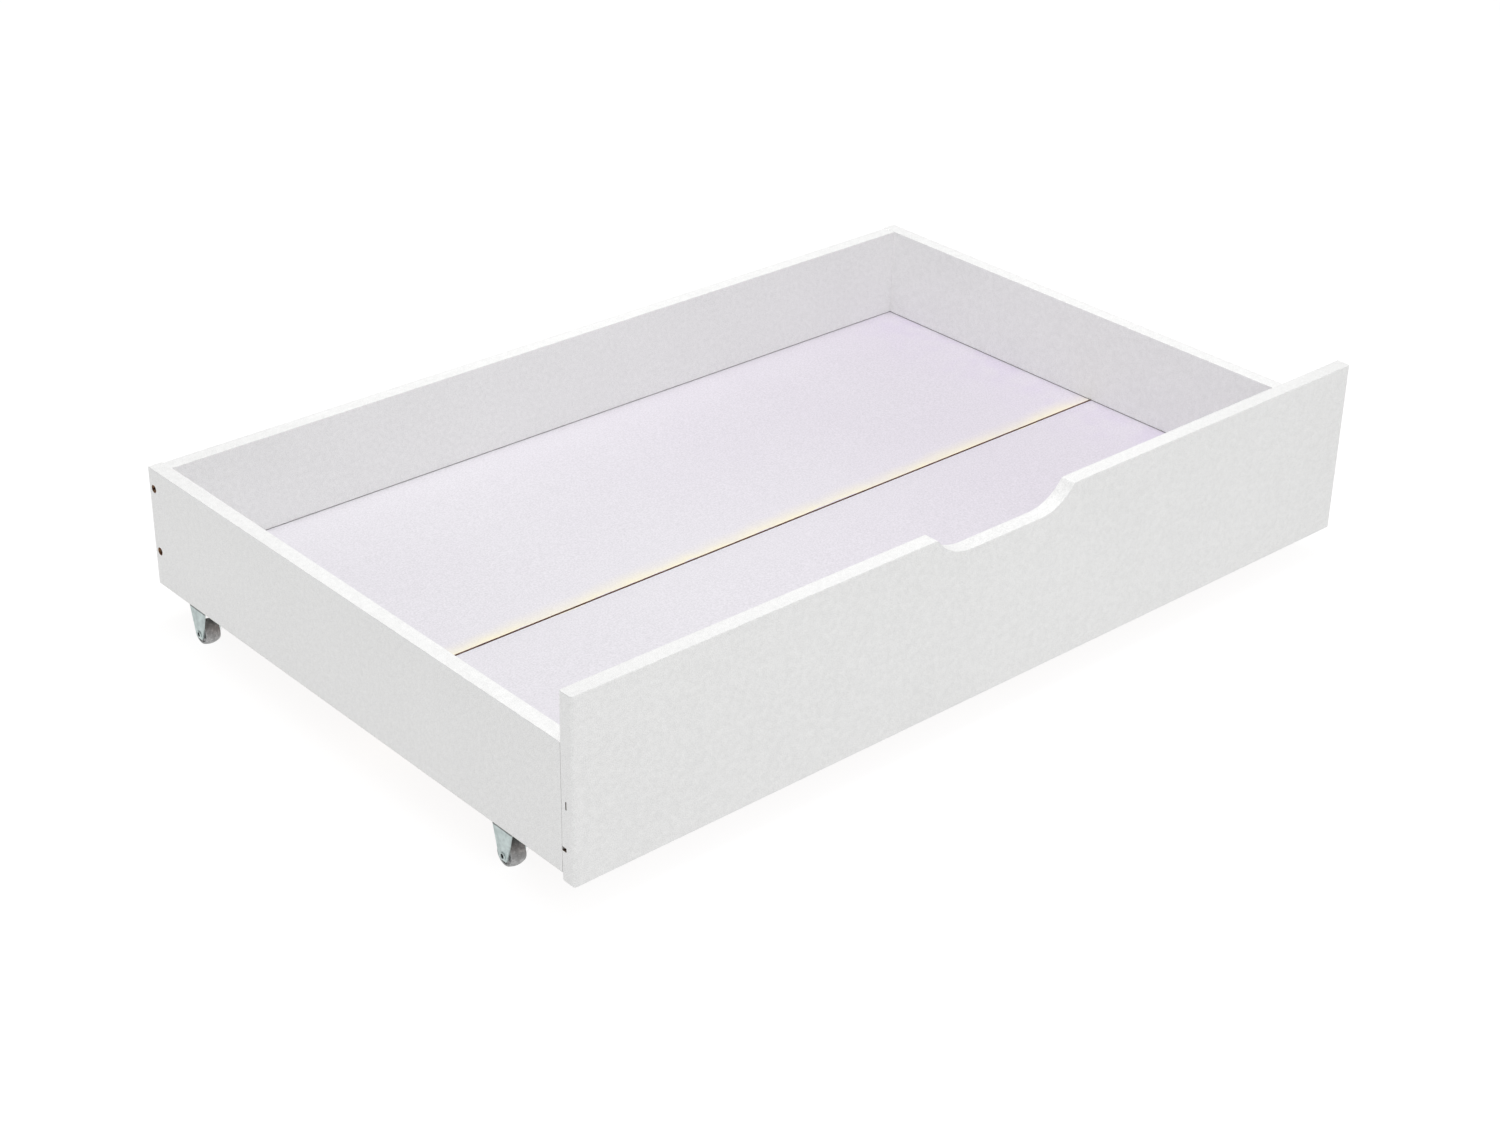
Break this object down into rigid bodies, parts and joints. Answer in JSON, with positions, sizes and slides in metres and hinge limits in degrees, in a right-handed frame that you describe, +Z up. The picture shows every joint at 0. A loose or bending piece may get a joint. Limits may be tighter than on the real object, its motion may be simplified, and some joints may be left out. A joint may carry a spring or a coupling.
{
  "type": "under bed storage box",
  "caption": "Low open storage box on small fixed casters, with a tall front that has a curved finger grip in its top edge.",
  "frame": {"origin": "on the floor, under the middle of the box", "axes": "+X along the front from left to right, +Y from the front to the back, +Z up"},
  "size_m": [1, 0.66, 0.219],
  "materials": {
    "white_board": "satin white coated board",
    "bottom_sheet": "thin hardboard, white coated on top with a lavender tint, bare brown underneath",
    "bare_wood": "bare softwood",
    "black_screw": "black phosphate",
    "zinc_plate": "bright zinc plating, bluish",
    "cam_metal": "die-cast zinc, dull",
    "wheel_plastic": "mid grey moulded plastic"
  },
  "bodies": {
    "box": {"front_panel": "white_board", "left_side": "white_board", "right_side": "white_board", "back_panel": "white_board", "bottom_sheet_front": "bottom_sheet", "bottom_sheet_rear": "bottom_sheet", "centre_rail": "bare_wood", "back_screws": "black_screw", "cam_bolts": "zinc_plate", "cam_locks": "cam_metal", "front_dowels": "bare_wood", "rail_dowels": "bare_wood", "caster_screws": "zinc_plate", "caster_fork_front_left": "zinc_plate", "caster_fork_front_right": "zinc_plate", "caster_fork_rear_left": "zinc_plate", "caster_fork_rear_right": "zinc_plate", "axle_front_left": "zinc_plate", "axle_front_right": "zinc_plate", "axle_rear_left": "zinc_plate", "axle_rear_right": "zinc_plate"},
    "front_left_wheel": {"wheel_front_left": "wheel_plastic"},
    "front_right_wheel": {"wheel_front_right": "wheel_plastic"},
    "rear_left_wheel": {"wheel_rear_left": "wheel_plastic"},
    "rear_right_wheel": {"wheel_rear_right": "wheel_plastic"}
  },
  "joints": [
    {"name": "front_left_wheel_spin", "type": "hinge", "parent": "box", "child": "front_left_wheel", "pos_m": [-0.48875, -0.2284, 0.0125], "axis": [1, 0, 0], "continuous": true},
    {"name": "front_right_wheel_spin", "type": "hinge", "parent": "box", "child": "front_right_wheel", "pos_m": [0.48875, -0.2284, 0.0125], "axis": [1, 0, 0], "continuous": true},
    {"name": "rear_left_wheel_spin", "type": "hinge", "parent": "box", "child": "rear_left_wheel", "pos_m": [-0.48875, 0.263, 0.0125], "axis": [1, 0, 0], "continuous": true},
    {"name": "rear_right_wheel_spin", "type": "hinge", "parent": "box", "child": "rear_right_wheel", "pos_m": [0.48875, 0.263, 0.0125], "axis": [1, 0, 0], "continuous": true}
  ]
}
